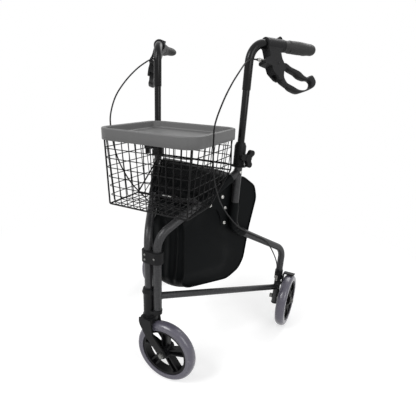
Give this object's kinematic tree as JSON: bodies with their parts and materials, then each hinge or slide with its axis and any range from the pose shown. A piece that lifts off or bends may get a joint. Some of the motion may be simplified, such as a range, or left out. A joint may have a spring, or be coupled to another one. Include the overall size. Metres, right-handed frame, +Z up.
{
  "type": "three wheel rollator",
  "caption": "Folding walker on three wheels: splayed tube frames on a swivel front wheel, set-height handles with loop brakes, wire basket with tray, and a bag.",
  "frame": {"origin": "on the floor under the middle of the bounding box", "axes": "+X to the user's left, -Y the way the rollator travels, +Z up"},
  "size_m": [0.5972, 0.5428, 0.9214],
  "materials": {
    "tyre": "smooth grey tyre",
    "vinyl": "coated black vinyl cloth",
    "tray_plastic": "satin grey",
    "black_wire": "black coated wire",
    "frame_paint": "dark grey hammered paint",
    "black_metal": "black paint",
    "bright_steel": "bright plated",
    "grip_rubber": "matt moulded",
    "cable_sheath": "black sheath",
    "black_plastic": "moulded"
  },
  "bodies": {
    "right_frame": {"front_tube_right": "frame_paint", "leg_tube_right": "frame_paint", "cross_tube_right": "frame_paint", "tube_plugs_right": "black_plastic", "hinge_bracket": "black_plastic", "hinge_rivets": "bright_steel", "hinge_pin": "bright_steel", "caster_housing": "black_plastic", "caster_bearings": "bright_steel", "rear_axle_right": "bright_steel", "height_clamp_right": "black_plastic", "brake_cable_right": "cable_sheath", "brake_bracket_right": "black_metal", "brake_spring_right": "bright_steel", "brace_tab_right": "frame_paint", "bag": "vinyl", "bag_strap_right": "vinyl"},
    "left_frame": {"front_tube_left": "frame_paint", "leg_tube_left": "frame_paint", "cross_tube_left": "frame_paint", "tube_plugs_left": "black_plastic", "rear_axle_left": "bright_steel", "height_clamp_left": "black_plastic", "brake_cable_left": "cable_sheath", "brake_bracket_left": "black_metal", "brake_spring_left": "bright_steel", "brace_tab_left": "frame_paint", "bag_strap_left": "vinyl"},
    "caster": {"caster_fork": "black_metal", "caster_bolt": "bright_steel", "front_axle": "bright_steel"},
    "front_wheel": {"front_rim": "black_plastic", "front_tyre": "tyre"},
    "wheel_left": {"rear_rim_left": "black_plastic", "rear_tyre_left": "tyre"},
    "wheel_right": {"rear_rim_right": "black_plastic", "rear_tyre_right": "tyre"},
    "handle_left": {"stem_left": "black_metal", "handle_tube_left": "black_metal", "grip_left": "grip_rubber", "brake_housing_left": "black_plastic", "lever_pin_left": "bright_steel", "cable_adjuster_left": "bright_steel"},
    "handle_right": {"stem_right": "black_metal", "handle_tube_right": "black_metal", "grip_right": "grip_rubber", "brake_housing_right": "black_plastic", "lever_pin_right": "bright_steel", "cable_adjuster_right": "bright_steel"},
    "lever_left": {"brake_lever_left": "black_plastic"},
    "lever_right": {"brake_lever_right": "black_plastic"},
    "shoe_arm_left": {"brake_arm_left": "black_metal"},
    "shoe_arm_right": {"brake_arm_right": "black_metal"},
    "knob_left": {"star_knob_left": "black_plastic"},
    "knob_right": {"star_knob_right": "black_plastic"},
    "brace_right": {"brace_bar_right": "black_metal"},
    "brace_left": {"brace_bar_left": "black_metal"},
    "basket": {"basket_frame": "black_wire", "basket_mesh": "black_wire"},
    "tray": {"tray": "tray_plastic"}
  },
  "joints": [
    {"name": "frame_fold", "type": "hinge", "parent": "right_frame", "child": "left_frame", "pos_m": [0.014, -0.23344, 0.387], "axis": [0, 0, 1], "range_deg": [0, 36], "deforming": ["bag"]},
    {"name": "caster_swivel", "type": "hinge", "parent": "right_frame", "child": "caster", "pos_m": [-0.014, -0.23344, 0.192], "axis": [0, 0, 1], "continuous": true},
    {"name": "front_wheel_spin", "type": "hinge", "parent": "caster", "child": "front_wheel", "pos_m": [0.041, -0.23344, 0.09], "axis": [0, 1, 0], "continuous": true},
    {"name": "wheel_spin_left", "type": "hinge", "parent": "left_frame", "child": "wheel_left", "pos_m": [0.27259, 0.18144, 0.09], "axis": [1, 0, 0], "continuous": true},
    {"name": "handle_height_left", "type": "slide", "parent": "left_frame", "child": "handle_left", "axis": [0.0205, 0.0385, 0.999], "range_m": [-0.07, 0.06], "deforming": ["brake_cable_left"]},
    {"name": "brake_squeeze_left", "type": "hinge", "parent": "handle_left", "child": "lever_left", "pos_m": [0.18886, 0.06252, 0.85145], "axis": [0.8397, -0.4465, 0.309], "range_deg": [0, 14], "stiffness_Nm_per_rad": 2, "springref_deg": -11.46},
    {"name": "shoe_press_left", "type": "hinge", "parent": "left_frame", "child": "shoe_arm_left", "pos_m": [0.23459, 0.18544, 0.172], "axis": [-1, 0, 0], "range_deg": [0, 3.5], "deforming": ["brake_spring_left"]},
    {"name": "knob_turn_left", "type": "hinge", "parent": "left_frame", "child": "knob_left", "pos_m": [0.16017, -0.02244, 0.613], "axis": [0.8829, -0.4695, 0], "range_deg": [0, 360]},
    {"name": "wheel_spin_right", "type": "hinge", "parent": "right_frame", "child": "wheel_right", "pos_m": [-0.27259, 0.18144, 0.09], "axis": [1, 0, 0], "continuous": true},
    {"name": "handle_height_right", "type": "slide", "parent": "right_frame", "child": "handle_right", "axis": [-0.0205, 0.0385, 0.999], "range_m": [-0.07, 0.06], "deforming": ["brake_cable_right"]},
    {"name": "brake_squeeze_right", "type": "hinge", "parent": "handle_right", "child": "lever_right", "pos_m": [-0.18886, 0.06252, 0.85145], "axis": [0.8397, 0.4465, -0.309], "range_deg": [0, 14], "stiffness_Nm_per_rad": 2, "springref_deg": -11.46},
    {"name": "shoe_press_right", "type": "hinge", "parent": "right_frame", "child": "shoe_arm_right", "pos_m": [-0.23459, 0.18544, 0.172], "axis": [-1, 0, 0], "range_deg": [0, 3.5], "deforming": ["brake_spring_right"]},
    {"name": "knob_turn_right", "type": "hinge", "parent": "right_frame", "child": "knob_right", "pos_m": [-0.16017, -0.02244, 0.613], "axis": [-0.8829, -0.4695, 0], "range_deg": [0, 360]},
    {"name": "brace_swing_right", "type": "hinge", "parent": "right_frame", "child": "brace_right", "pos_m": [-0.05, -0.12394, 0.499], "axis": [0, 1, 0], "range_deg": [0, 86.4]},
    {"name": "brace_swing_left", "type": "hinge", "parent": "brace_right", "child": "brace_left", "pos_m": [0, -0.12394, 0.499], "axis": [0, 1, 0], "range_deg": [-172.8, 0]},
    {"name": "basket_lift", "type": "slide", "parent": "right_frame", "child": "basket", "axis": [0, 0, 1], "range_m": [0, 0.12]},
    {"name": "tray_lift", "type": "slide", "parent": "basket", "child": "tray", "axis": [0, 0, 1], "range_m": [0, 0.08]}
  ],
  "couplings": [
    {"joint": "shoe_press_left", "follows": "brake_squeeze_left", "ratio": 0.25},
    {"joint": "shoe_press_right", "follows": "brake_squeeze_right", "ratio": 0.25},
    {"joint": "brace_swing_right", "follows": "frame_fold", "ratio": 2.4},
    {"joint": "brace_swing_left", "follows": "frame_fold", "ratio": -4.8}
  ]
}
